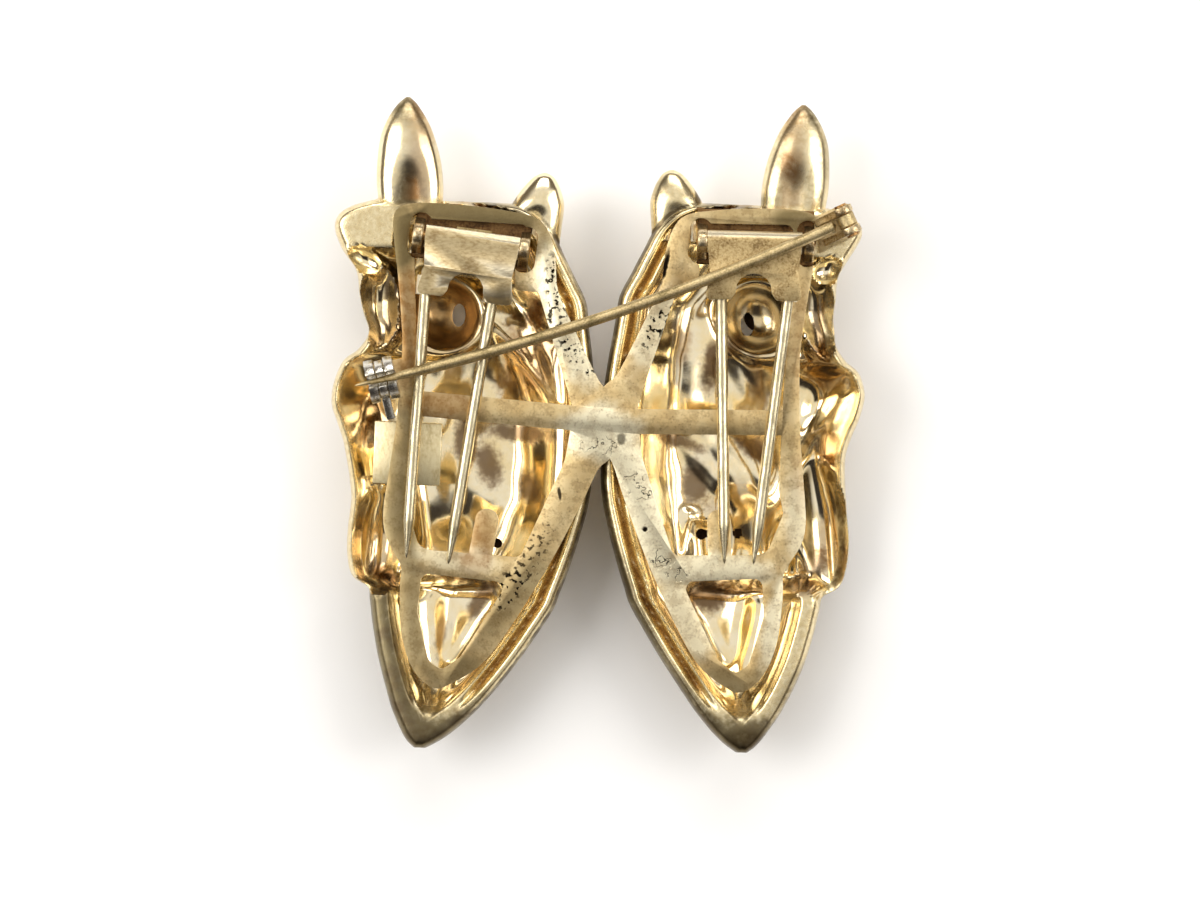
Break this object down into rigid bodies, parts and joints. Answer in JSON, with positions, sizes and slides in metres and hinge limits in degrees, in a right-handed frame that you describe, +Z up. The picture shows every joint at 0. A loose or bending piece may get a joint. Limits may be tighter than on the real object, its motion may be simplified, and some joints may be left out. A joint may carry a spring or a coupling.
{
  "type": "double clip brooch",
  "caption": "Double clip brooch: hollow cast horse heads with sprung two-pronged clips, carried on a pierced frame with a hinged pin and a safety catch.",
  "frame": {"origin": "centre of the object's box in plan, on the surface that it lies on, face down", "axes": "+Z up, out of the back of the brooch; +Y towards the horses' ears; +X to the right as seen from the back"},
  "size_m": [0.0478, 0.0594, 0.0139],
  "materials": {
    "cast_gilt": "polished gilding inside, satin on the rims",
    "sheet_gilt": "matte worn gilding with tarnish",
    "plate_gilt": "satin worn gilding",
    "wire_silver": "smooth worn gilding over silver",
    "rod_brass": "dull",
    "spring_gilt": "satin",
    "pin_wire": "matte pale gilding",
    "catch_silver": "bright with dark tarnish"
  },
  "bodies": {
    "brooch": {"left_head": "cast_gilt", "right_head": "cast_gilt", "frame": "sheet_gilt", "left_hinge_rod": "rod_brass", "right_hinge_rod": "rod_brass", "left_spring": "spring_gilt", "right_spring": "spring_gilt", "pin_rivet": "rod_brass"},
    "pin": {"pin_stem": "pin_wire"},
    "catch": {"catch_ring": "catch_silver"},
    "left_clip": {"left_lever": "plate_gilt", "left_prongs": "wire_silver"},
    "right_clip": {"right_lever": "plate_gilt", "right_prongs": "wire_silver"}
  },
  "joints": [
    {"name": "pin_hinge", "type": "hinge", "parent": "brooch", "child": "pin", "pos_m": [0.02144, 0.01916, 0.012], "axis": [-0.455, 0.8905, 0], "range_deg": [0, 100]},
    {"name": "catch_turn", "type": "hinge", "parent": "brooch", "child": "catch", "pos_m": [-0.01949, 0.00326, 0.012], "axis": [-0.9641, -0.2655, 0], "range_deg": [0, 100]},
    {"name": "left_clip_hinge", "type": "hinge", "parent": "brooch", "child": "left_clip", "pos_m": [-0.01196, 0.01593, 0.00995], "axis": [-0.9954, 0.0958, 0], "range_deg": [0, 4.5], "stiffness_Nm_per_rad": 0.01, "springref_deg": -17.19},
    {"name": "right_clip_hinge", "type": "hinge", "parent": "brooch", "child": "right_clip", "pos_m": [0.01336, 0.01697, 0.00995], "axis": [-0.9998, -0.0175, 0], "range_deg": [0, 4.5], "stiffness_Nm_per_rad": 0.01, "springref_deg": -17.19}
  ]
}
